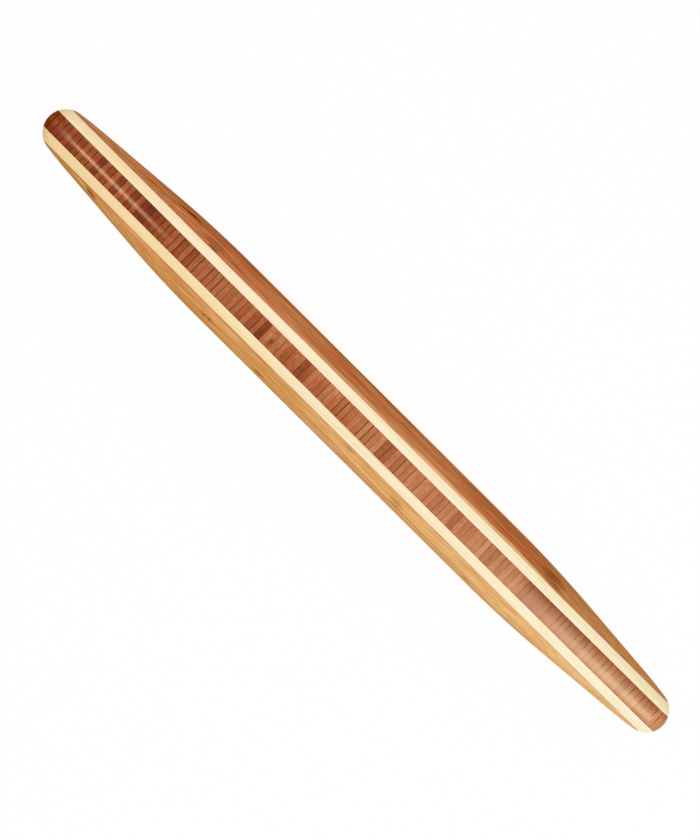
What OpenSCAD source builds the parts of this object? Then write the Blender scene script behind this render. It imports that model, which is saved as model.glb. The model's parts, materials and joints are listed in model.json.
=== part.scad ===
// French rolling pin, turned from a blank of glued bamboo strips.
// Millimetres. The origin is the middle of the pin, on its axis.
// X runs along the pin, Y goes through the layers of the blank, Z is up.

/* [Pin] */
// Length from tip to tip
pin_len = 508; // [440:1:600]
// Diameter of the straight belly
belly_d = 44.45; // [40:0.05:50]
// Length of the straight belly
belly_len = 220; // [180:1:260]
// Slope of the tapers against the axis, in degrees
taper_angle = 4.6; // [3.5:0.1:5]
// Radius of the long curve from the belly into a taper
blend_r = 760; // [500:10:900]
// Radius of the curve from a taper into its nose
shoulder_r = 300; // [200:10:400]
// How much of each end is shoulder and nose
end_len = 30; // [24:1:40]

/* [Core] */
// Thickness of the dark core, across the pin
core_t = 12.4; // [8:0.1:16]
// Number of nodes that the staves are shared out to
core_sections = 26; // [15:1:30]
// Staves in each section
staves_per_section = 5; // [3:1:6]
// Glue line between neighbouring staves
glue_t = 0.05; // [0.02:0.01:0.1]

/* [Layers] */
// Thickness of a pale slat
slat_t = 5.8; // [3:0.1:7]
// Height of a side strip
strip_t = 5; // [4.6:0.1:5.1]

/* [Hidden] */
// Fineness of the curves
$fn = 256;
// Straight steps along the blend, shoulder and nose curves, which keep within 0.02 mm of the true arcs
blend_steps = 8;
shoulder_steps = 3;
nose_steps = 16;
// Anything longer than this reaches past the pin
beyond = 2 * belly_d;

belly_r = belly_d / 2;
// The staves fill the pin from tip to tip, with a glue line between each two.
stave_pitch = (pin_len + glue_t) / (core_sections * staves_per_section);
stave_t = stave_pitch - glue_t;
slat_y = core_t / 2;
side_y = slat_y + slat_t;
// An odd number of side strips, as many as the height of a side takes
side_top = sqrt(pow(belly_r, 2) - pow(side_y, 2));
strips_per_side = 1 + 2 * ceil(side_top / strip_t - 1 / 2);

// The outline of one end, as points [distance from the middle, radius] that go out to the tip.
// The blend curve leaves the belly level and meets the taper at its slope.
blend_centre = [belly_len / 2, belly_r - blend_r];
blend = arc(blend_centre, blend_r, 0, taper_angle, blend_steps);
blend_end = blend[blend_steps];
// The taper runs straight to the shoulder, whose centre lies square to the taper's end.
shoulder_x = pin_len / 2 - end_len;
taper_end = [shoulder_x, blend_end.y - (shoulder_x - blend_end.x) * tan(taper_angle)];
shoulder_centre = taper_end - shoulder_r * [sin(taper_angle), cos(taper_angle)];
// The nose is round about the axis, and touches the tip's plane and, from inside, the shoulder curve.
to_tip = pin_len / 2 - shoulder_centre.x;
nose_r = (pow(to_tip, 2) + pow(shoulder_centre.y, 2) - pow(shoulder_r, 2)) / (2 * (to_tip - shoulder_r));
nose_centre = [pin_len / 2 - nose_r, 0];
touch_angle = asin((nose_centre.x - shoulder_centre.x) / (shoulder_r - nose_r));
shoulder = arc(shoulder_centre, shoulder_r, taper_angle, touch_angle, shoulder_steps);
nose = arc(nose_centre, nose_r, touch_angle, 90, nose_steps);
// The shoulder's last point is the nose's first.
half_outline = concat(blend, [for (i = [0:shoulder_steps - 1]) shoulder[i]], nose);

// Names: sections and strips count from one end, slats go by their side and level.
function core_name(i) = str("core_staves_", i < 10 ? "0" : "", i);
function slat_name(side, level) = str("pale_slat_", side, "_", level);
function strip_name(side, i) = str("side_strip_", side, "_", i);

// Tones of the two side boards. Left is the +Y side, seen along +X.
function side_color(side) = side == "left" ? [0.72, 0.44, 0.25] : [0.85, 0.62, 0.37];

// Points on an arc of the outline, by the angles that the outline has turned from level towards the tip
function arc(centre, r, from, to, steps) =
    [for (i = [0:steps]) let (angle = from + (to - from) * i / steps) centre + r * [sin(angle), cos(angle)]];

// The same points on the other end, back from the tip
function mirrored(points) = [for (i = [len(points) - 1:-1:0]) [-points[i].x, points[i].y]];

// The turned pin as one shape, which every piece of the blank is cut by
module turned() {
    rotate([0, 90, 0]) rotate_extrude() rotate([0, 0, -90])
        polygon(concat(mirrored(half_outline), half_outline));
}

// A strip of the blank between two corners, turned with the rest
module turned_strip(low, high) {
    intersection() {
        turned();
        translate(low) cube(high - low);
    }
}

// A section of the core: short staves that stand side by side with a glue line between them
module core_staves(section) {
    first = (section - 1) * staves_per_section;
    color([0.62, 0.36, 0.22])
        for (i = [first:first + staves_per_section - 1])
            let (x = i * stave_pitch - pin_len / 2)
                turned_strip([x, -core_t / 2, -beyond], [x + stave_t, core_t / 2, beyond]);
}

// Half of a pale layer, above or below the middle
module pale_slat(side, level) {
    y = side == "left" ? slat_y : -side_y;
    z = level == "upper" ? 0 : -beyond;
    color([0.97, 0.90, 0.73])
        turned_strip([-pin_len, y, z], [pin_len, y + slat_t, z + beyond]);
}

// One of the flat strips stacked in a side of the pin, counted from the bottom
module side_strip(side, i) {
    y = side == "left" ? side_y : -beyond;
    z = (i - 1 - strips_per_side / 2) * strip_t;
    color(side_color(side))
        turned_strip([-pin_len, y, z], [pin_len, y + beyond - side_y, z + strip_t]);
}

for (i = [1:core_sections])
    core_staves(i);
for (side = ["left", "right"], level = ["lower", "upper"])
    pale_slat(side, level);
for (side = ["left", "right"], i = [1:strips_per_side])
    side_strip(side, i);
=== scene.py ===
"""A french rolling pin turned from a blank of laminated bamboo, with its light and its camera.

Metres. The origin is the middle of the pin, on its axis. X runs along the pin, Y goes through the layers
of the blank, and Z is up. Left is the +Y side, seen along +X.
"""

import json
import logging
import math
from collections.abc import Callable
from dataclasses import dataclass, replace
from enum import Enum
from functools import cache, partial

import bmesh
import bpy
from mathutils import Matrix, Vector


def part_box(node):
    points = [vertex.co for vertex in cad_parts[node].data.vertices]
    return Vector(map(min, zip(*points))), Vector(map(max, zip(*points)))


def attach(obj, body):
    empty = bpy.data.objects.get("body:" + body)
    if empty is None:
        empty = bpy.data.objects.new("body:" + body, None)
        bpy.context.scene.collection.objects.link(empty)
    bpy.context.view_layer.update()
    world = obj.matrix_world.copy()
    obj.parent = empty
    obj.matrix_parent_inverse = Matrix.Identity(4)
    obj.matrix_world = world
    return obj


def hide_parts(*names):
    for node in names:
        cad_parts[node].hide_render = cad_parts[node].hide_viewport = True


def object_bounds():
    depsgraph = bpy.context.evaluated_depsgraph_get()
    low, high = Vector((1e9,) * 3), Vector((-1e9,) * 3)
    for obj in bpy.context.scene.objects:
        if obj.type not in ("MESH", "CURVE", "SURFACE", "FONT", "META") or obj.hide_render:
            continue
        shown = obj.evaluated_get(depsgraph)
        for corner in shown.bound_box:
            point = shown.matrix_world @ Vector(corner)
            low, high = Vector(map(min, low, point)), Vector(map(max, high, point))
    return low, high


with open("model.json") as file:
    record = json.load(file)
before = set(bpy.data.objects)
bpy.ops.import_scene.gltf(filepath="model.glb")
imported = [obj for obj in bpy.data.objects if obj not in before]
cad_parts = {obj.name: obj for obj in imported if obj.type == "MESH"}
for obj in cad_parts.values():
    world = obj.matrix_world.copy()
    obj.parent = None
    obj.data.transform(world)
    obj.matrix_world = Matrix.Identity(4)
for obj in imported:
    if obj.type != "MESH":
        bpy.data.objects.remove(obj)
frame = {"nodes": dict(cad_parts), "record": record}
cad_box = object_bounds()

MILLIMETRE = 0.001
# Rings closer together than this are taken as one
SAME_PLACE = 0.001 * MILLIMETRE
# Corners closer together than the first are joined, and faces thinner than the second are removed
SAME_CORNER = 0.0002 * MILLIMETRE
THINNEST_FACE = 0.00001 * MILLIMETRE
# A point closer to the axis than this is the tip
ON_AXIS = 0.000001 * MILLIMETRE
WHITE = (1.0, 1.0, 1.0, 1.0)
log = logging.getLogger("rolling_pin")

Colour = tuple[float, float, float, float]
# The two values between which a soft step rises from 0 to 1
Span = tuple[float, float]
# Changes, each with the numbers of the staves or joints that have it
Shades = tuple[tuple[float, tuple[int, ...]], ...]


class Side(Enum):
    """The side of the pin that a strip lies on, with the sign of its Y."""

    LEFT = 1
    RIGHT = -1


class Level(Enum):
    """The half of a pale layer, with the sign of its Z."""

    UPPER = 1
    LOWER = -1


class Along(Enum):
    """The axis that the fibres of a piece run along."""

    X = 0
    Y = 1


def linear(red: int, green: int, blue: int) -> Colour:
    """The shader's linear colour for a screen colour with parts from 0 to 255."""
    shares = [value / 255 for value in (red, green, blue)]
    return (*(s / 12.92 if s <= 0.04045 else ((s + 0.055) / 1.055) ** 2.4 for s in shares), 1.0)


@dataclass(frozen=True)
class Outline:
    """The outline that the pin is turned to: belly, blend, taper, shoulder and nose."""

    # Enough halvings of the outline's length to find a place to the last digit
    HALVINGS = 60

    half_length: float
    belly_radius: float
    belly_half: float
    taper_angle: float = math.radians(4.6)
    blend_radius: float = 760 * MILLIMETRE
    shoulder_radius: float = 300 * MILLIMETRE
    end_length: float = 30 * MILLIMETRE

    @property
    def blend_end(self) -> tuple[float, float]:
        """Where the blend curve meets the taper, as distance from the middle and radius."""
        return (
            self.belly_half + self.blend_radius * math.sin(self.taper_angle),
            self.belly_radius - self.blend_radius * (1 - math.cos(self.taper_angle)),
        )

    @property
    def shoulder_start(self) -> float:
        """The distance from the middle at which the taper ends."""
        return self.half_length - self.end_length

    @property
    def shoulder_centre(self) -> tuple[float, float]:
        """The centre of the shoulder curve, square to the end of the taper."""
        blend_x, blend_r = self.blend_end
        taper_r = blend_r - (self.shoulder_start - blend_x) * math.tan(self.taper_angle)
        return (
            self.shoulder_start - self.shoulder_radius * math.sin(self.taper_angle),
            taper_r - self.shoulder_radius * math.cos(self.taper_angle),
        )

    @property
    def nose_radius(self) -> float:
        """The radius of the nose, which touches the tip's plane and, from inside, the shoulder curve."""
        centre_x, centre_r = self.shoulder_centre
        to_tip = self.half_length - centre_x
        top = to_tip**2 + centre_r**2 - self.shoulder_radius**2
        return top / (2 * (to_tip - self.shoulder_radius))

    @property
    def nose_centre(self) -> float:
        """The distance of the nose's centre from the middle."""
        return self.half_length - self.nose_radius

    @property
    def touch_angle(self) -> float:
        """How far the outline has turned from level where the nose begins."""
        reach = self.nose_centre - self.shoulder_centre[0]
        return math.asin(reach / (self.shoulder_radius - self.nose_radius))

    @property
    def nose_start(self) -> float:
        """The distance from the middle at which the nose begins."""
        return self.nose_centre + self.nose_radius * math.sin(self.touch_angle)

    def radius(self, x: float) -> float:
        """The pin's radius at a place along it."""
        out = abs(x)
        blend_x, blend_r = self.blend_end
        if out <= self.belly_half:
            return self.belly_radius
        if out <= blend_x:
            drop = self.blend_radius - math.sqrt(self.blend_radius**2 - (out - self.belly_half) ** 2)
            return self.belly_radius - drop
        if out <= self.shoulder_start:
            return blend_r - (out - blend_x) * math.tan(self.taper_angle)
        if out <= self.nose_start:
            centre_x, centre_r = self.shoulder_centre
            return centre_r + math.sqrt(self.shoulder_radius**2 - (out - centre_x) ** 2)
        return math.sqrt(max(self.nose_radius**2 - (out - self.nose_centre) ** 2, 0.0))

    def lean(self, x: float) -> float:
        """How far the outline has turned from level at a place along the pin, in radians."""
        out = abs(x)
        if out <= self.belly_half:
            return 0.0
        if out <= self.blend_end[0]:
            return math.asin((out - self.belly_half) / self.blend_radius)
        if out <= self.shoulder_start:
            return self.taper_angle
        if out <= self.nose_start:
            return math.asin((out - self.shoulder_centre[0]) / self.shoulder_radius)
        return math.asin(min((out - self.nose_centre) / self.nose_radius, 1.0))

    def normal(self, point: Vector) -> Vector:
        """The direction straight out of the turned surface at a point on it."""
        lean = self.lean(point.x)
        across = math.hypot(point.y, point.z)
        along = math.copysign(math.sin(lean), point.x)
        if across < ON_AXIS:
            return Vector((math.copysign(1.0, point.x), 0.0, 0.0))
        return Vector((along, math.cos(lean) * point.y / across, math.cos(lean) * point.z / across))

    def reach(self, radius: float) -> float:
        """The distance from the middle at which the pin has thinned to a radius."""
        low, high = self.belly_half, self.half_length
        for _ in range(self.HALVINGS):
            middle = (low + high) / 2
            if self.radius(middle) > radius:
                low = middle
            else:
                high = middle
        return low


@dataclass(frozen=True)
class Blank:
    """The layers of the glued blank, and the places along the pin at which its pieces have their rings."""

    outline: Outline
    core_half: float
    slat_outer: float
    strip_height: float
    strips: int
    sections: int
    staves_per_section: int
    # Thinner than the CAD's, through which the white floor would shine
    glue: float = 0.01 * MILLIMETRE
    blend_rings: int = 20
    taper_rings: int = 12
    shoulder_rings: int = 10
    nose_rings: int = 26
    cut_rings: int = 14

    @property
    def staves(self) -> int:
        """How many staves the core has."""
        return self.sections * self.staves_per_section

    @property
    def pitch(self) -> float:
        """The distance from one stave to the next, over the glue between them."""
        return (2 * self.outline.half_length + self.glue) / self.staves

    def stave_ends(self, index: int) -> tuple[float, float]:
        """Where along the pin a stave begins and ends, for staves counted from 0 at the -X tip."""
        start = index * self.pitch - self.outline.half_length
        return start, start + self.pitch - self.glue

    def strip_edge(self, number: int) -> float:
        """The height of a side strip's lower edge, for a strip counted from 1 at the bottom."""
        return (number - 1 - self.strips / 2) * self.strip_height

    @cache
    def stations(self) -> list[float]:
        """Where along the pin the rings of all pieces stand, so that neighbours share their edges.

        Returns:
            The places along X, from the -X tip to the +X tip.
        """
        shape = self.outline
        blend_x = shape.blend_end[0]
        spans = (
            (shape.belly_half, blend_x, self.blend_rings),
            (blend_x, shape.shoulder_start, self.taper_rings),
            (shape.shoulder_start, shape.nose_start, self.shoulder_rings),
        )
        out = []
        for start, end, count in spans:
            out += [start + (end - start) * i / count for i in range(count)]
        for i in range(self.nose_rings + 1):
            turn = shape.touch_angle + (math.pi / 2 - shape.touch_angle) * i / self.nose_rings
            out.append(shape.nose_centre + shape.nose_radius * math.sin(turn))
        for depth in (self.core_half, self.slat_outer):
            cut = math.sqrt(shape.nose_radius**2 - depth**2)
            for i in range(self.cut_rings + 1):
                out.append(shape.nose_centre + cut * math.sin(math.pi / 2 * i / self.cut_rings))
        for number in range(1, self.strips + 1):
            edge = max(self.strip_edge(number), -self.strip_edge(number + 1), 0.0)
            out.append(shape.reach(math.hypot(self.slat_outer, edge)))
        places = sorted(x for value in out for x in (value, -value))
        kept = [-shape.half_length]
        for x in places:
            if x - kept[-1] > SAME_PLACE and x < shape.half_length - SAME_PLACE:
                kept.append(x)
        return [*kept, shape.half_length]


def add_skin(mesh: bmesh.types.BMesh, rings: list[list[Vector]], turned_sides: set[int]) -> None:
    """Adds a closed skin through rings of points to a mesh.

    Args:
        mesh: The mesh that takes the faces.
        rings: The rings, from one end to the other.
        turned_sides: The sides of a ring, by their first point, that lie on the turned surface.
    """
    count = len(rings[0])
    grid = [[mesh.verts.new(point) for point in ring] for ring in rings]
    for near, far in zip(grid, grid[1:]):
        for i in range(count):
            after = (i + 1) % count
            face = mesh.faces.new((near[i], near[after], far[after], far[i]))
            face.smooth = i in turned_sides
    mesh.faces.new(reversed(grid[0]))
    mesh.faces.new(grid[-1])


def finish_mesh(name: str, mesh: bmesh.types.BMesh, outline: Outline) -> bpy.types.Object:
    """Closes a piece's mesh and gives its turned faces the normals of the turned surface.

    Args:
        name: The piece's name.
        mesh: Its faces, where the turned ones are marked smooth.
        outline: The outline that the piece was turned to.

    Returns:
        The piece as an object in the scene.
    """
    bmesh.ops.remove_doubles(mesh, verts=mesh.verts, dist=SAME_CORNER)
    bmesh.ops.dissolve_degenerate(mesh, edges=mesh.edges, dist=THINNEST_FACE)
    bmesh.ops.recalc_face_normals(mesh, faces=mesh.faces)
    data = bpy.data.meshes.new(name)
    mesh.to_mesh(data)
    mesh.free()
    normals = [Vector((0.0, 0.0, 0.0))] * len(data.loops)
    for face in data.polygons:
        if face.use_smooth:
            for loop in face.loop_indices:
                normals[loop] = outline.normal(data.vertices[data.loops[loop].vertex_index].co)
    data.normals_split_custom_set(normals)
    piece = bpy.data.objects.new(name, data)
    bpy.context.scene.collection.objects.link(piece)
    return piece


def operator(operation: str, reflected: bool = False) -> Callable[..., "Wire"]:
    """Makes a method of Wire that adds one kind of Math node.

    Args:
        operation: The node's operation.
        reflected: Whether the wire is the second value.

    Returns:
        The method.
    """

    def method(wire: "Wire", other: "Wire | float" = 0.0) -> "Wire":
        """The result of the operation."""
        first, second = (other, wire) if reflected else (wire, other)
        return wire.bench.add("ShaderNodeMath", {"operation": operation}, {0: first, 1: second})

    return method


class Wire:
    """A shader socket that takes part in Python expressions."""

    __add__ = operator("ADD")
    __radd__ = operator("ADD", reflected=True)
    __sub__ = operator("SUBTRACT")
    __rsub__ = operator("SUBTRACT", reflected=True)
    __mul__ = operator("MULTIPLY")
    __rmul__ = operator("MULTIPLY", reflected=True)
    __truediv__ = operator("DIVIDE")
    __pow__ = operator("POWER")
    __abs__ = operator("ABSOLUTE")
    floor = operator("FLOOR")
    fraction = operator("FRACT")
    lowest = operator("MINIMUM")
    highest = operator("MAXIMUM")

    def __init__(self, bench: "Bench", socket: bpy.types.NodeSocket | None) -> None:
        """Wraps an output socket of a bench's node tree, or none after the last node."""
        self.bench = bench
        self.socket = socket

    def beside(self, output: int | str) -> "Wire":
        """Another output of the same node."""
        return Wire(self.bench, self.socket.node.outputs[output])

    def rise(self, low: float, high: float) -> "Wire":
        """A soft step from 0 at one value to 1 at another, which may lie lower."""
        sockets = {"Value": self, "From Min": low, "From Max": high, "To Min": 0.0, "To Max": 1.0}
        return self.bench.add("ShaderNodeMapRange", {"interpolation_type": "SMOOTHSTEP"}, sockets)


def new_material(name: str) -> bpy.types.Material:
    """Makes a material that has a node tree."""
    material = bpy.data.materials.new(name)
    material.use_nodes = True
    return material


@dataclass(frozen=True)
class Gloss:
    """The sheen of the oil that has soaked into the bamboo. It fades where the surface turns away."""

    specular: float = 0.3
    tint: Colour = linear(255, 250, 215)
    fades: Span = (0.06, 0.45)
    relief: float = 0.25
    depth: float = 0.03 * MILLIMETRE


@dataclass(frozen=True)
class Fibres:
    """A kind of fibre: the size of its streaks in millimetres, its finer octaves, and its share."""

    length: float
    width: float
    detail: float
    share: float = 1.0
    warp: float = 0.15
    roughness: float = 0.55


class Bench:
    """A node tree, with one method that adds any node."""

    def __init__(self, tree: bpy.types.NodeTree) -> None:
        """Empties the tree."""
        self.tree = tree
        self.tree.nodes.clear()

    def add(self, kind: str, settings: dict, sockets: dict, output: int | str = 0) -> Wire:
        """Adds a node.

        Args:
            kind: The node's type.
            settings: Its own settings, such as a Math node's operation, or a ramp's stops.
            sockets: The value or the link of each socket, by name or number.
            output: The output that is wanted.

        Returns:
            That output.
        """
        node = self.tree.nodes.new(kind)
        for name, value in settings.items():
            if name == "stops":
                ramp = node.color_ramp
                while len(ramp.elements) < len(value):
                    ramp.elements.new(0.5)
                for element, (place, colour) in zip(ramp.elements, value):
                    element.position = place
                    element.color = colour
            else:
                setattr(node, name, value)
        for name, value in sockets.items():
            if isinstance(value, Wire):
                self.tree.links.new(value.socket, node.inputs[name])
            else:
                node.inputs[name].default_value = value
        return Wire(self, node.outputs[output] if node.outputs else None)

    def marks(self, number: Wire, chosen: tuple[int, ...]) -> Wire:
        """1 where a whole number is one of the chosen ones, and 0 elsewhere."""
        same = {"operation": "COMPARE"}
        return sum(self.add("ShaderNodeMath", same, {0: number, 1: member, 2: 0.5}) for member in chosen)

    def shade(self, number: Wire, shades: Shades) -> Wire:
        """The change that each stave or joint has by its number."""
        return sum(self.marks(number, chosen) * change for change, chosen in shades)

    def scaled(self, place: Wire, size: float) -> Wire:
        """The point measured in steps of a size."""
        return self.add("ShaderNodeVectorMath", {"operation": "SCALE"}, {0: place, "Scale": 1 / size})

    def chance(self, seed: Wire | float) -> Wire:
        """A fixed random value from 0 to 1 for each value of the seed."""
        return self.add("ShaderNodeTexWhiteNoise", {"noise_dimensions": "1D"}, {"W": seed})

    def noise(self, vector: Wire, detail: float, roughness: float = 0.5, warp: float = 0.0) -> Wire:
        """Cloudy noise, one unit across."""
        sockets = {"Vector": vector, "Scale": 1.0, "Detail": detail, "Roughness": roughness}
        sockets["Distortion"] = warp
        return self.add("ShaderNodeTexNoise", {"noise_dimensions": "3D"}, sockets)

    def fibres(self, place: Wire, along: Along, kind: Fibres) -> Wire:
        """Noise drawn out along the fibres of a piece.

        Args:
            place: The point, in millimetres.
            along: The axis that the fibres run along.
            kind: The kind of fibre.

        Returns:
            A value around 0.5.
        """
        scale = [1 / kind.width] * 3
        scale[along.value] = 1 / kind.length
        drawn = self.add("ShaderNodeVectorMath", {"operation": "MULTIPLY"}, {0: place, 1: scale})
        return self.noise(drawn, kind.detail, kind.roughness, kind.warp)

    def ramp(self, value: Wire, stops: tuple[tuple[float, tuple], ...]) -> Wire:
        """A colour for each value."""
        return self.add("ShaderNodeValToRGB", {"stops": stops}, {0: value})

    def blend(self, share: Wire | float, first: Wire | tuple, second: Wire | tuple) -> Wire:
        """The first colour, with a share of the second mixed in."""
        return self.add("ShaderNodeMix", {"data_type": "RGBA"}, {0: share, 6: first, 7: second}, 2)

    def polish(
        self, colour: Wire, roughness: Wire, grain: Wire, gloss: Gloss, wear: Wire | float = 0.0
    ) -> None:
        """Ends a material's tree in oiled and polished bamboo.

        Args:
            colour: The bamboo's colour over its surface.
            roughness: Its roughness over its surface.
            grain: The height of the fibres, from 0 to 1.
            gloss: The sheen of the oil.
            wear: How far the sheen has worn off, over the surface.
        """
        relief = {"Strength": gloss.relief, "Distance": gloss.depth, "Height": grain}
        bump = self.add("ShaderNodeBump", {}, relief)
        sheen = {"Specular IOR Level": gloss.specular, "Specular Tint": gloss.tint}
        surface = {"Base Color": colour, "Roughness": roughness, "Normal": bump, **sheen}
        oiled = self.add("ShaderNodeBsdfPrincipled", {}, surface)
        matte = self.add("ShaderNodeBsdfDiffuse", {}, {"Color": colour, "Normal": bump})
        facing = self.add("ShaderNodeLayerWeight", {}, {}, 1)
        dull = facing.rise(*gloss.fades).highest(wear)
        mixed = self.add("ShaderNodeMixShader", {}, {0: dull, 1: oiled, 2: matte})
        self.add("ShaderNodeOutputMaterial", {}, {0: mixed})


@dataclass(frozen=True)
class Change:
    """A change that sets in along the pin and may end again, from -1 at the -X tip to 1."""

    amount: float
    start: float
    full: float
    last_full: float | None = None
    end: float | None = None

    def over(self, along: Wire) -> Wire:
        """The change at each place along the pin."""
        share = along.rise(self.start, self.full)
        if self.end is not None:
            share = share * along.rise(self.end, self.last_full)
        return share * self.amount


def total(changes: tuple[Change, ...], along: Wire) -> Wire:
    """The sum of some changes at each place along the pin."""
    return sum(change.over(along) for change in changes)


class Spot:
    """A point on the pin, in millimetres. Along runs from -1 at the -X tip to 1."""

    def __init__(self, bench: Bench, blank: Blank) -> None:
        """Adds the nodes that read the point."""
        self.bench = bench
        self.blank = blank
        self.place = bench.scaled(bench.add("ShaderNodeTexCoord", {}, {}, 3), MILLIMETRE)
        self.x = bench.add("ShaderNodeSeparateXYZ", {}, {0: self.place})
        self.y, self.z = self.x.beside(1), self.x.beside(2)
        self.along = self.x * MILLIMETRE / blank.outline.half_length


@dataclass(frozen=True)
class CoreFinish:
    """The dark, carbonised bamboo of the core: one tone a stave, with glue lines between the staves.

    Lengths are in millimetres. A tone runs from 0, the darkest, to 1. Upper is the +Y edge of the core, and
    lower is its -Y edge. Staves are counted from 0 at the -X tip, and joints by the stave that follows.
    """

    gloss: Gloss = Gloss(specular=0.6, tint=linear(255, 250, 214), fades=(0.04, 0.3), relief=0.04)
    tones: tuple[tuple[float, Colour], ...] = (
        (0.0, linear(108, 23, 0)),
        (0.2, linear(130, 46, 3)),
        (0.4, linear(146, 67, 19)),
        (0.6, linear(164, 91, 49)),
        (0.8, linear(182, 110, 66)),
        (1.0, linear(204, 140, 94)),
    )
    # Painted highlight: towards the +X end the core turns towards this colour, less so along its upper edge,
    # where the softbox's sheen falls on its lower part
    highlight_colour: Colour = linear(186, 142, 101)
    bleaching: Change = Change(0.38, 0.3, 0.6)
    upper_bleaching: Change = Change(-0.3, 0.3, 0.6)
    glue: Colour = linear(90, 14, 0)

    # The tone over the whole width, and what is added towards the lower edge, at the upper edge and in the
    # middle. The last three are painted shade and painted highlight: darker below at the -X tip and in the
    # left half, lighter below and darker at the upper edge towards the +X end, lighter in the middle at the
    # -X tip
    tone: float = 0.33
    changes: tuple[Change, ...] = (
        Change(0.47, -1.14, 0.12),
        Change(0.04, -0.97, -0.985),
        Change(0.05, -0.88, -0.97),
        Change(-0.06, -0.78, -0.7, -0.6, -0.54),
        Change(0.045, -0.5, -0.3, -0.1, 0.1),
        Change(-0.2, 0.5, 0.7),
        Change(-0.15, 0.51, 0.53, 0.6, 0.62),
        Change(0.12, 0.68, 0.82),
        Change(0.34, 0.95, 0.97),
    )
    lower_changes: tuple[Change, ...] = (
        Change(-0.1, -0.88, -0.97),
        Change(-0.15, -0.5, -0.3, -0.1, 0.1),
        Change(0.15, 0.4, 0.6),
    )
    upper_shade: Change = Change(-0.25, 0.45, 0.6)
    middle_highlight: Change = Change(0.13, -0.9, -0.94)

    # How the staves differ, by chance and by their numbers, and how far they are alike towards the +X tip
    luck: float = 0.24
    slope: float = 0.25
    alike: Change = Change(0.5, 0.3, 0.6)
    shades: Shades = (
        (-0.4, (44,)),
        (-0.2, (10, 14, 17, 19, 20, 21, 42, 49, 69, 70, 84, 92, 99, 100, 101, 102, 103, 124, 125)),
        (-0.1, (3, 4, 5, 12, 22, 29, 37, 52, 53, 72, 73, 76, 91, 104, 109, 111)),
        (0.16, (8, 11, 13, 15, 26, 28, 30, 34, 35, 38, 45, 54, 63, 65, 75, 77, 78, 89, 90, 93, 95, 97)),
        (0.16, (112, 115, 117, 127)),
    )
    seed: float = 11.3

    # The fibres, which run across the pin, and the cloudy patches
    grain: Fibres = Fibres(15, 0.4, 3.0, 0.9, warp=0.0)
    grain_step: float = 37
    grain_fade: Change = Change(0.3, -0.3, 0.2)
    patch: float = 3
    patch_share: float = 0.35

    # The dots on speckled staves, and the one knot
    speckle: float = 0.5
    speckle_strength: float = 0.8
    speckle_fade: Change = Change(0.5, 0.0, 0.6)
    speckled_staves: tuple[int, ...] = (3, 20, 52, 120)
    knot: Span = (-72.4, -1.7)
    knot_size: Span = (1.35, 2.16)
    knot_strength: float = 0.68

    # The glue lines between the staves, and the one along each edge of the core
    line_width: Span = (0.52, 0.104)
    least_line: float = 0.35
    line_luck: float = 0.5
    line_growth: Change = Change(0.55, -0.35, -0.5)
    line_shades: Shades = (
        (0.4, (9, 11, 20, 26, 27, 52, 57, 61, 65, 66, 73, 82, 117)),
        (-0.4, (10, 32, 33, 34, 36, 46, 47, 51, 68, 78, 89, 92, 101, 102)),
    )
    # Painted highlight: towards the +X end the glue lines are painted fainter on the lower part of the core,
    # where the sheen washes them out
    highlight_line_fade: Change = Change(0.7, 0.15, 0.5)
    edge_width: Span = (0.5, 0.05)
    edge_strength: float = 0.4

    # How rough the surface is, and where the sheen has worn off
    roughness: float = 0.17
    grain_roughness: float = 0.04
    rougher: tuple[Change, ...] = (Change(0.14, 0.3, 0.6), Change(0.16, -0.88, -0.97))
    wear: Change = Change(0.48, 0.3, -0.1)

    def material(self, blank: Blank) -> bpy.types.Material:
        """Makes the material, which works out each stave from its place along the pin.

        Args:
            blank: The blank that holds the staves.

        Returns:
            The material of all staves.
        """
        material = new_material("dark_bamboo")
        bench = Bench(material.node_tree)
        spot = Spot(bench, blank)
        along, half_width = spot.along, blank.core_half / MILLIMETRE
        counted = (spot.x * MILLIMETRE + blank.outline.half_length) / blank.pitch
        stave = counted.floor()
        moved = {0: spot.x, 1: spot.y + stave * self.grain_step, 2: spot.z}
        grain = bench.fibres(bench.add("ShaderNodeCombineXYZ", {}, moved), Along.Y, self.grain)
        patches = bench.noise(bench.scaled(spot.place, self.patch), 2.0) - 0.5
        dots = bench.noise(bench.scaled(spot.place, self.speckle), 1.0)
        upper = spot.y.rise(0.15 * half_width, half_width)
        tone = self.stave_tone(spot, upper, stave, counted.fraction())
        tone = tone + (grain - 0.5) * (self.grain.share - self.grain_fade.over(along))
        colour = bench.ramp(tone + patches * self.patch_share, self.tones)
        # Painted highlight on the lower part of the core towards the +X end
        bleaching = self.bleaching.over(along) + upper * self.upper_bleaching.over(along)
        colour = bench.blend(bleaching, colour, self.highlight_colour)
        speckled = bench.marks(stave, self.speckled_staves)
        speckled = speckled * (self.speckle_strength - self.speckle_fade.over(along))
        colour = bench.blend(dots.rise(0.42, 0.6) * speckled, colour, self.glue)
        (knot_x, knot_y), (length, width) = self.knot, self.knot_size
        spread = ((spot.x - knot_x) / length) ** 2.0 + ((spot.y - knot_y) / width) ** 2.0
        knot = (spread + (dots - 0.5) * 3 + patches * 2).rise(1.6, 0.1) * spot.z.rise(0.0, 1.0)
        colour = bench.blend(knot * self.knot_strength, colour, self.glue)
        colour = bench.blend(self.glue_lines(spot, counted, patches), colour, self.glue)
        edge = (half_width - abs(spot.y)).rise(*self.edge_width)
        colour = bench.blend(edge * self.edge_strength, colour, self.glue)
        roughness = grain * self.grain_roughness + self.roughness + total(self.rougher, along)
        bench.polish(colour, roughness, grain, self.gloss, self.wear.over(along))
        return material

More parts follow.
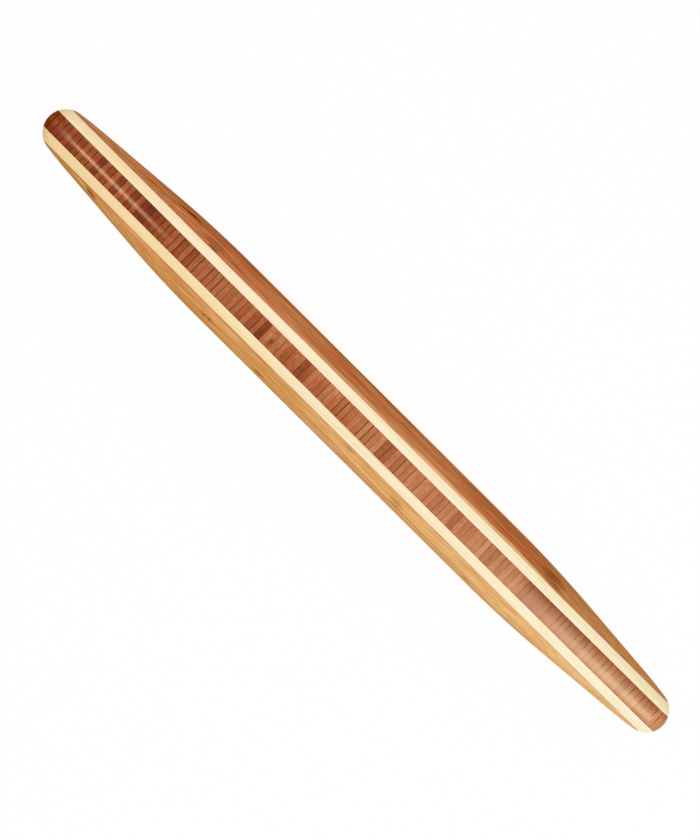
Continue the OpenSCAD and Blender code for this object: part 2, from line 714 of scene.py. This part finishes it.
    def stave_tone(self, spot: Spot, upper: Wire, stave: Wire, within: Wire) -> Wire:
        """The tone of a stave, without its fibres and patches, with painted shade and painted highlight
        across the core.

        Args:
            spot: The point on the core.
            upper: How near it is to the upper edge.
            stave: The number of the stave.
            within: The place within the stave, from 0 to 1.

        Returns:
            The tone.
        """
        bench, along, half_width = spot.bench, spot.along, spot.blank.core_half / MILLIMETRE
        lower = spot.y.rise(half_width, -half_width)
        middle = abs(spot.y - 0.6).rise(2.6, 0.6)
        # Painted shade and painted highlight towards the lower edge, at the upper edge and in the middle
        tone = total(self.changes, along) + lower * total(self.lower_changes, along) + self.tone
        tone = tone + upper * self.upper_shade.over(along) + middle * self.middle_highlight.over(along)
        own = (bench.chance(stave + self.seed) - 0.5) * self.luck + bench.shade(stave, self.shades)
        lean = (bench.chance(stave + self.seed * 2) - 0.5) * self.slope
        return tone + own * (1 - self.alike.over(along)) + (within - 0.5) * lean

    def glue_lines(self, spot: Spot, counted: Wire, patches: Wire) -> Wire:
        """The share of glue in the lines between the staves.

        Args:
            spot: The point on the core.
            counted: The number of the stave, with the place within it.
            patches: Noise around 0, which makes the lines patchy.

        Returns:
            The share, which is 0 away from the joints and at the two tips.
        """
        bench, blank, within = spot.bench, spot.blank, counted.fraction()
        joint = (counted + 0.5).floor()
        strength = bench.chance(joint + self.seed * 3).rise(0.05, 0.95) * self.line_luck + self.least_line
        strength = strength + self.line_growth.over(spot.along)
        strength = strength + bench.shade(joint, self.line_shades)
        # Painted highlight: the lines fade on the lower part of the core towards the +X end
        lower = (spot.y * MILLIMETRE / blank.core_half).rise(0.24, -0.4)
        fading = 1 - self.highlight_line_fade.over(spot.along) * lower
        inside = ((1 - abs(spot.along)) * blank.outline.half_length / blank.pitch).rise(0.3, 0.7)
        line = (within.lowest(1 - within) * blank.pitch / MILLIMETRE).rise(*self.line_width)
        return (line * strength * inside * (patches * 1.6 + 0.85) * fading).lowest(1.0)


@dataclass(frozen=True)
class Knuckle:
    """A knuckle of the bamboo: a dark, mottled patch that follows the fibres. Lengths are in millimetres."""

    x: float
    z: float
    half_length: float
    half_height: float
    strength: float

    def covers(self, low: float, high: float) -> bool:
        """Whether the patch reaches into a strip between two heights in metres."""
        bottom, top = self.z - self.half_height, self.z + self.half_height
        return low < top * MILLIMETRE and bottom * MILLIMETRE < high

    def share(self, spot: Spot, wave: Wire, edge: Span) -> Wire:
        """How much of the patch's colour a point has. A wave of noise makes the patch ragged."""
        across = (spot.x - self.x) / self.half_length
        upward = (spot.z - self.z) / self.half_height
        return (across**2.0 + upward**2.0 + wave).rise(*edge) * self.strength


@dataclass(frozen=True)
class StripFinish:
    """Bamboo whose fibres run along the pin: a tone, long streaks, fine hairs, threads and knuckles.

    Lengths are in millimetres. A tone runs from 0, the darkest, over 0.5 to 1.
    """

    name: str
    dark: Colour
    middle: Colour
    light: Colour
    knuckle: Colour | None = None
    glue: Colour | None = None
    gloss: Gloss = Gloss()
    roughness: float = 0.26
    hair_roughness: float = 0.12

    # The tone, and how it changes along the pin
    tone: float = 0.0
    drift: float = 0.0
    drift_reach: Change = Change(1.0, -1.0, 0.5)
    light_ends: float = 0.0
    light_reach: Change = Change(1.0, 0.5, 0.85)
    bright_middle: float = 0.0
    middle_reach: Change = Change(1.0, -0.5, -0.25, 0.15, 0.3)
    golden: Colour = linear(203, 148, 86)
    golden_share: float = 0.0
    golden_reach: tuple[Change, ...] = (Change(1.0, 0.45, 0.65), Change(0.5, -0.5, -0.85))

    # The fibres, which each strip has for itself by a step along each axis
    own_step: tuple[float, float, float] = (613, 131, 377)
    streak: Fibres = Fibres(60, 1.4, 3.0, 1.1)
    hair: Fibres = Fibres(14, 0.45, 2.0, 1.1)
    cloud: Fibres = Fibres(180, 5.6, 1.0, 0.6)
    contrast: float = 1.0
    thread: Fibres = Fibres(26, 0.5, 1.0, 0.35)
    thread_colour: Colour | None = None
    thread_fade: Change = Change(0.7, 0.5, 0.7)

    # The knuckles, with their ragged edges
    mottle: float = 1.1
    knuckle_edge: Span = (1.3, 0.1)
    ragged: float = 1.5
    hairy: float = 1.6

    # The glue lines between the strips, and the seam along the pale layer
    joint_strength: float = 0.8
    joint_width: Span = (0.35, 0.0875)
    seam: float = 0.0
    seam_width: Span = (0.7, 0.2)
    least_seam: float = 0.3
    seam_growth: Change = Change(0.7, 0.1, -0.5)

    def material(
        self,
        label: str,
        blank: Blank,
        seed: int,
        joints: tuple[float, ...] = (),
        knuckles: tuple[Knuckle, ...] = (),
    ) -> bpy.types.Material:
        """Makes the material of one strip.

        Args:
            label: What the strip is called.
            blank: The blank that holds the strip.
            seed: A number that makes its fibres its own.
            joints: The height of each glued edge that shows a line.
            knuckles: The knuckles on the strip.

        Returns:
            The strip's material.
        """
        material = new_material(f"{self.name}_{label}")
        bench = Bench(material.node_tree)
        spot = Spot(bench, blank)
        along = spot.along
        step = tuple(length * seed for length in self.own_step)
        own = bench.add("ShaderNodeVectorMath", {"operation": "ADD"}, {0: spot.place, 1: step})
        kinds = (self.streak, self.hair, self.cloud, self.thread)
        streaks, hairs, clouds, threads = (bench.fibres(own, Along.X, kind) for kind in kinds)
        tone = (streaks - 0.5) * self.streak.share + (hairs - 0.5) * self.hair.share
        tone = (tone + (clouds - 0.5) * self.cloud.share) * self.contrast + (0.5 + self.tone)
        tone = tone + (self.drift_reach.over(along) - 0.7) * self.drift
        tone = tone + self.light_reach.over(abs(along)) * self.light_ends
        tone = tone + self.middle_reach.over(along) * self.bright_middle
        colour = bench.ramp(tone, ((0.05, self.dark), (0.5, self.middle), (0.95, self.light)))
        if self.golden_share:
            colour = bench.blend(total(self.golden_reach, along) * self.golden_share, colour, self.golden)
        threads = threads.rise(0.56, 0.7) * (1 - self.thread_fade.over(abs(along)))
        colour = bench.blend(threads * self.thread.share, colour, self.thread_colour or self.dark)
        if knuckles:
            mottle = bench.noise(bench.scaled(own, self.mottle), 2.0)
            wave = (streaks + mottle - 1) * self.ragged + (hairs - 0.5) * self.hairy
            for mark in knuckles:
                colour = bench.blend(mark.share(spot, wave, self.knuckle_edge), colour, self.knuckle)
        for height in joints:
            line = abs(spot.z - height / MILLIMETRE).rise(*self.joint_width) * clouds.rise(0.35, 0.7)
            colour = bench.blend(line * self.joint_strength, colour, self.glue)
        if self.seam:
            line = (abs(spot.y) - blank.slat_outer / MILLIMETRE).rise(*self.seam_width)
            line = line * streaks.rise(0.3, 0.6) * (self.seam_growth.over(along) + self.least_seam)
            colour = bench.blend(line * self.seam, colour, self.glue)
        bench.polish(colour, hairs * self.hair_roughness + self.roughness, hairs, self.gloss)
        return material


PALE = StripFinish(
    "pale_bamboo",
    dark=linear(248, 226, 171),
    middle=linear(247, 235, 197),
    light=linear(249, 243, 219),
    thread=Fibres(70, 0.55, 1.0, 0.8),
    thread_colour=linear(237, 211, 154),
)
# The two pale layers are one bamboo. Their drift along the pin is partly the bamboo's own tone and partly
# painted light and shade: towards the +X end the right layer is painted lighter and the left layer darker, as
# the light falls from the -Y side there
LEFT_PALE = replace(PALE, tone=0.13, drift=0.12, light_ends=-0.25)
RIGHT_PALE = replace(PALE, tone=-0.05, drift=0.7)
CARAMEL = StripFinish(
    "caramel_bamboo",
    dark=linear(149, 68, 24),
    middle=linear(189, 109, 56),
    light=linear(219, 159, 99),
    knuckle=linear(104, 36, 6),
    glue=linear(98, 34, 8),
    drift=0.12,
    light_ends=0.18,
    golden_share=0.5,
    seam=0.5,
)
HONEY = StripFinish(
    "honey_bamboo",
    dark=linear(192, 131, 66),
    middle=linear(218, 161, 93),
    light=linear(238, 196, 136),
    knuckle=linear(142, 74, 24),
    glue=linear(144, 72, 24),
    drift=0.5,
    light_ends=0.2,
    contrast=1.25,
    thread=Fibres(26, 0.5, 1.0, 0.8),
    joint_strength=0.12,
    seam=0.9,
)

# Strips of each side that differ from the rest of it, counted from 1 at the bottom
CARAMEL_CHANGES = {
    1: {"tone": 0.2},
    4: {"tone": 0.05},
    7: {"tone": -0.04, "bright_middle": 0.22},
    8: {"drift": -0.08, "light_ends": 0.13, "bright_middle": 0.07},
    9: {"tone": 0.3, "drift": 0.6, "light": linear(233, 184, 120)},
}
HONEY_CHANGES = {
    3: {"tone": 0.05},
    6: {"tone": -0.1},
    7: {"tone": 0.06},
    8: {"tone": 0.13},
    9: {"tone": 0.06},
}

# The last five of each side lie where the photograph doesn't show them
CARAMEL_KNUCKLES = (
    Knuckle(-157, 10.2, 9, 0.9, 1.0),
    Knuckle(-178, 10.8, 22, 0.35, 0.6),
    Knuckle(-135, 14.8, 8, 3, 0.35),
    Knuckle(-133, 17.3, 5, 0.5, 0.8),
    Knuckle(143, 13.6, 10, 3.6, 0.55),
    Knuckle(20, 3.4, 9, 1.5, 0.5),
    Knuckle(-190, 1.5, 6, 1.1, 0.6),
    Knuckle(-60, -6, 8, 2.3, 0.4),
    Knuckle(105, -9.5, 11, 1.3, 0.45),
    Knuckle(-116, -14.6, 5, 1.8, 0.5),
)
HONEY_KNUCKLES = (
    Knuckle(-206, 9, 5, 1.8, 0.85),
    Knuckle(-109, 13.2, 8, 2.4, 0.3),
    Knuckle(-110.5, 13.0, 1.2, 0.8, 0.8),
    Knuckle(-106.5, 13.4, 1.2, 0.8, 0.8),
    Knuckle(-64, 9.6, 5, 1.1, 0.9),
    Knuckle(4, 17.6, 6, 0.9, 0.4),
    Knuckle(46, 13.9, 6, 2.6, 0.35),
    Knuckle(107, 9.2, 4.5, 0.9, 0.8),
    Knuckle(-150, 2.2, 10, 1.4, 0.45),
    Knuckle(176, 0.4, 6, 2.0, 0.5),
    Knuckle(15, -7.4, 8, 1.2, 0.5),
    Knuckle(-88, -14.2, 6, 2.2, 0.4),
    Knuckle(124, -11.8, 12, 1.0, 0.45),
)


def long_piece(
    name: str, blank: Blank, end: float, ring: Callable[[float], list[Vector]], turned: int
) -> bpy.types.Object:
    """Builds a piece that runs along the pin, from one end to the same place at the other.

    Args:
        name: The piece's name.
        blank: The blank that holds it.
        end: How far from the middle it ends.
        ring: Its outline across the pin at a place along it.
        turned: How many of a ring's sides, from the first, lie on the turned surface.

    Returns:
        The piece.
    """
    inside = [x for x in blank.stations() if abs(x) < end - SAME_PLACE]
    mesh = bmesh.new()
    add_skin(mesh, [ring(x) for x in (-end, *inside, end)], set(range(turned)))
    return finish_mesh(name, mesh, blank.outline)


@dataclass
class Core:
    """The dark core of short staves, in sections of a few staves each."""

    blank: Blank
    finish: CoreFinish = CoreFinish()
    arc_points: int = 10

    def ring(self, x: float) -> list[Vector]:
        """The outline of the core across the pin at one place, top edge first."""
        radius = self.blank.outline.radius(x)
        spread = math.asin(min(self.blank.core_half / radius, 1.0)) if radius > 0 else math.pi / 2
        turns = [spread * (2 * i / self.arc_points - 1) for i in range(self.arc_points + 1)]
        top = [Vector((x, radius * math.sin(t), radius * math.cos(t))) for t in turns]
        return top + [Vector((p.x, -p.y, -p.z)) for p in top]

    def section(self, number: int, material: bpy.types.Material) -> bpy.types.Object:
        """Builds one section of staves.

        Args:
            number: The section, counted from 1 at the -X tip.
            material: The core's material.

        Returns:
            The section's piece.
        """
        mesh = bmesh.new()
        first = (number - 1) * self.blank.staves_per_section
        count = self.arc_points + 1
        turned = set(range(self.arc_points)) | set(range(count, count + self.arc_points))
        for stave in range(first, first + self.blank.staves_per_section):
            low, high = self.blank.stave_ends(stave)
            inside = [x for x in self.blank.stations() if low + SAME_PLACE < x < high - SAME_PLACE]
            add_skin(mesh, [self.ring(x) for x in (low, *inside, high)], turned)
        piece = finish_mesh(f"dark_staves_{number:02d}", mesh, self.blank.outline)
        piece.data.materials.append(material)
        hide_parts(f"core_staves_{number:02d}")
        return piece

    def build(self) -> list[bpy.types.Object]:
        """Builds every section."""
        material = self.finish.material(self.blank)
        return [self.section(i + 1, material) for i in range(self.blank.sections)]


@dataclass
class PaleLayer:
    """The pale layer on one side of the core, in an upper and a lower slat."""

    blank: Blank
    side: Side
    finish: StripFinish
    arc_points: int = 8
    middle_seed: int = 3

    def ring(self, level: Level, x: float) -> list[Vector]:
        """The outline of a slat across the pin at one place: its turned edge, then its two inner corners."""
        radius = self.blank.outline.radius(x)
        inner = self.blank.core_half
        outer = min(self.blank.slat_outer, radius)
        low, high = math.asin(min(inner / radius, 1.0)), math.asin(min(outer / radius, 1.0))
        turns = [low + (high - low) * i / self.arc_points for i in range(self.arc_points + 1)]
        edge = [(radius * math.sin(t), max(radius * math.cos(t), 0.0)) for t in turns]
        flat = [(outer, 0.0), (inner, 0.0)]
        return [Vector((x, y * self.side.value, z * level.value)) for y, z in edge + flat]

    def slat(self, level: Level) -> bpy.types.Object:
        """Builds one slat.

        Args:
            level: The upper or the lower slat.

        Returns:
            The slat's piece.
        """
        end = self.blank.outline.reach(self.blank.core_half)
        side, half = self.side.name.lower(), level.name.lower()
        ring = partial(self.ring, level)
        piece = long_piece(f"pale_board_{side}_{half}", self.blank, end, ring, self.arc_points)
        seed = self.middle_seed + self.side.value + 2 * level.value
        piece.data.materials.append(self.finish.material(f"{side}_{half}", self.blank, seed))
        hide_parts(f"pale_slat_{side}_{half}")
        return piece

    def build(self) -> list[bpy.types.Object]:
        """Builds both slats."""
        return [self.slat(level) for level in Level]


@dataclass
class SideBoard:
    """The stack of flat strips in one side of the pin."""

    blank: Blank
    side: Side
    finish: StripFinish
    slot: str
    changes: dict[int, dict[str, float | tuple]]
    knuckles: tuple[Knuckle, ...]
    first_seed: int
    arc_points: int = 6

    def ring(self, low: float, high: float, x: float) -> list[Vector]:
        """The outline of a strip across the pin at one place: its turned edge, then its two inner corners."""
        radius = self.blank.outline.radius(x)
        depth = self.blank.slat_outer
        top = math.sqrt(max(radius**2 - depth**2, 0.0))
        start, end = max(low, -top), min(high, top)
        first, last = math.asin(start / radius), math.asin(end / radius)
        turns = [first + (last - first) * i / self.arc_points for i in range(self.arc_points + 1)]
        edge = [(max(radius * math.cos(t), depth), radius * math.sin(t)) for t in turns]
        flat = [(depth, end), (depth, start)]
        return [Vector((x, y * self.side.value, z)) for y, z in edge + flat]

    def strip(self, number: int) -> bpy.types.Object:
        """Builds one strip.

        Args:
            number: The strip, counted from 1 at the bottom.

        Returns:
            The strip's piece.
        """
        low, high = self.blank.strip_edge(number), self.blank.strip_edge(number + 1)
        end = self.blank.outline.reach(math.hypot(self.blank.slat_outer, max(low, -high, 0.0)))
        name = f"{self.finish.name.split('_')[0]}_strip_{number}"
        piece = long_piece(name, self.blank, end, partial(self.ring, low, high), self.arc_points)
        knuckles = tuple(mark for mark in self.knuckles if mark.covers(low, high))
        finish = replace(self.finish, **self.changes.get(number, {}))
        material = finish.material(str(number), self.blank, self.first_seed + number, (low, high), knuckles)
        piece.data.materials.append(material)
        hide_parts(f"side_strip_{self.side.name.lower()}_{number}")
        return piece

    def build(self) -> list[bpy.types.Object]:
        """Builds every strip."""
        return [self.strip(i + 1) for i in range(self.blank.strips)]


@dataclass(frozen=True)
class Softbox:
    """A soft lamp over the table, aimed at a point on the pin."""

    name: str
    place: tuple[float, float, float]
    aim: tuple[float, float, float]
    width: float
    depth: float
    power: float
    colour: tuple[float, float, float] = (1.0, 1.0, 1.0)

    def build(self) -> None:
        """Adds the lamp to the scene."""
        lamp = bpy.data.lights.new(self.name, "AREA")
        lamp.shape = "RECTANGLE"
        lamp.size = self.width
        lamp.size_y = self.depth
        lamp.energy = self.power
        lamp.color = self.colour
        holder = bpy.data.objects.new(self.name, lamp)
        bpy.context.scene.collection.objects.link(holder)
        back = (Vector(self.place) - Vector(self.aim)).normalized()
        right = (Vector((1, 0, 0)) - back * back.x).normalized()
        up = back.cross(right)
        turned = Matrix((right, up, back)).transposed().to_4x4()
        turned.translation = Vector(self.place)
        holder.matrix_world = turned


@dataclass(frozen=True)
class Studio:
    """The white floor and surroundings, and the lamps."""

    floor_height: float
    floor_size: float = 8.0
    sky: float = 0.43
    own_light: float = 0.97
    floor_white: float = 0.9
    lamps: tuple[Softbox, ...] = (
        Softbox("left_softbox", (-0.475, -0.14, 1.0), (-0.2, 0.0, 0.02), 0.24, 0.2, 3.1, (1.0, 0.7, 0.56)),
        Softbox("right_softbox", (0.76, -0.34, 1.0), (0.2, 0.0, 0.02), 0.36, 0.62, 7.0, (0.98, 1.0, 1.03)),
        Softbox("side_softbox", (-0.3, 1.0, 0.75), (-0.1, 0.0, 0.0), 1.2, 0.6, 3.0),
    )

    def build(self) -> None:
        """Adds the floor, the world and the lamps."""
        self.build_floor()
        self.build_world()
        for lamp in self.lamps:
            lamp.build()

    def build_floor(self) -> None:
        """Adds a white floor that keeps a faint shadow of the pin."""
        half = self.floor_size / 2
        corners = [(-half, -half), (half, -half), (half, half), (-half, half)]
        data = bpy.data.meshes.new("floor")
        data.from_pydata([(x, y, self.floor_height) for x, y in corners], [], [(0, 1, 2, 3)])
        floor = bpy.data.objects.new("floor", data)
        bpy.context.scene.collection.objects.link(floor)
        material = new_material("white_floor")
        bench = Bench(material.node_tree)
        lit = bench.add("ShaderNodeBsdfDiffuse", {}, {"Color": (*[self.floor_white] * 3, 1.0)})
        bright = bench.add("ShaderNodeEmission", {}, {"Color": WHITE})
        share = self.seen(bench) * self.own_light
        mixed = bench.add("ShaderNodeMixShader", {}, {0: share, 1: lit, 2: bright})
        bench.add("ShaderNodeOutputMaterial", {}, {0: mixed})
        data.materials.append(material)

    def build_world(self) -> None:
        """Makes the surroundings white where they are seen, and a plain light elsewhere."""
        world = bpy.data.worlds.new("studio")
        world.use_nodes = True
        bpy.context.scene.world = world
        bench = Bench(world.node_tree)
        strength = self.seen(bench) * (1 - self.sky) + self.sky
        light = bench.add("ShaderNodeBackground", {}, {"Color": WHITE, "Strength": strength})
        bench.add("ShaderNodeOutputWorld", {}, {0: light})

    def seen(self, bench: Bench) -> Wire:
        """1 on rays that look at the surroundings, straight, in gloss or through glass, and otherwise 0."""
        straight = bench.add("ShaderNodeLightPath", {}, {}, "Is Camera Ray")
        gloss, through = straight.beside("Is Glossy Ray"), straight.beside("Is Transmission Ray")
        return straight.highest(gloss).highest(through)


@dataclass(frozen=True)
class Viewpoint:
    """The photograph's camera, placed by how it stands over the pin."""

    distance: float = 1.45
    towards_tip: float = math.radians(4.733)
    towards_left: float = math.radians(1.744)
    pin_slope: float = math.radians(44.83)
    picture_focal: float = 2475.4
    picture_height: float = 840.0
    sensor: float = 36.0
    far_end: float = 50.0
    centre_left: float = 5.92 * MILLIMETRE
    centre_up: float = 2.98 * MILLIMETRE

    def build(self) -> None:
        """Adds the camera to the scene and makes it the active one."""
        level = math.cos(self.towards_tip)
        leftward, upward = math.sin(self.towards_left) * level, math.cos(self.towards_left) * level
        back = Vector((-math.sin(self.towards_tip), leftward, upward))
        along = (Vector((1, 0, 0)) - back * back.x).normalized()
        across = back.cross(along)
        cosine, sine = math.cos(self.pin_slope), math.sin(self.pin_slope)
        right = along * cosine + across * sine
        up = across * cosine - along * sine
        data = bpy.data.cameras.new("camera")
        data.sensor_width = self.sensor
        data.lens = self.picture_focal / self.picture_height * self.sensor
        data.clip_end = self.far_end
        camera = bpy.data.objects.new("camera", data)
        bpy.context.scene.collection.objects.link(camera)
        turned = Matrix((right, up, back)).transposed().to_4x4()
        turned.translation = back * self.distance - right * self.centre_left + up * self.centre_up
        camera.matrix_world = turned
        bpy.context.scene.camera = camera


def read_blank() -> Blank:
    """Reads the sizes of the blank and the pin off the frame.

    Returns:
        The blank, with the outline that it is turned to.
    """
    belly = next(m for m in frame["record"]["mounts"] if m["name"] == "belly")["dims"]
    outline = Outline(
        half_length=cad_box[1].x,
        belly_radius=belly["r_mm"] * MILLIMETRE,
        belly_half=belly["length_mm"] * MILLIMETRE / 2,
    )
    strips = [name for name in frame["nodes"] if name.startswith("side_strip_left")]
    sections = [name for name in frame["nodes"] if name.startswith("core_staves")]
    middle_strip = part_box(f"side_strip_left_{(len(strips) + 1) // 2}")
    return Blank(
        outline=outline,
        core_half=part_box("pale_slat_left_upper")[0].y,
        slat_outer=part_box("pale_slat_left_upper")[1].y,
        strip_height=middle_strip[1].z - middle_strip[0].z,
        strips=len(strips),
        sections=len(sections),
        staves_per_section=5,
    )


def main() -> None:
    """Builds the pin, the studio and the camera."""
    logging.basicConfig(level=logging.INFO, format="%(message)s")
    bpy.context.scene.view_settings.view_transform = "Standard"
    blank = read_blank()
    pieces = [
        *Core(blank).build(),
        *PaleLayer(blank, Side.LEFT, LEFT_PALE).build(),
        *PaleLayer(blank, Side.RIGHT, RIGHT_PALE).build(),
        *SideBoard(
            blank, Side.LEFT, CARAMEL, "caramel_bamboo", CARAMEL_CHANGES, CARAMEL_KNUCKLES, first_seed=20
        ).build(),
        *SideBoard(
            blank, Side.RIGHT, HONEY, "honey_bamboo", HONEY_CHANGES, HONEY_KNUCKLES, first_seed=40
        ).build(),
    ]
    for piece in pieces:
        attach(piece, "root")
        log.info("%s: %d faces", piece.name, len(piece.data.polygons))
    Studio(floor_height=-blank.outline.belly_radius).build()
    Viewpoint().build()


if __name__ == "__main__":
    main()
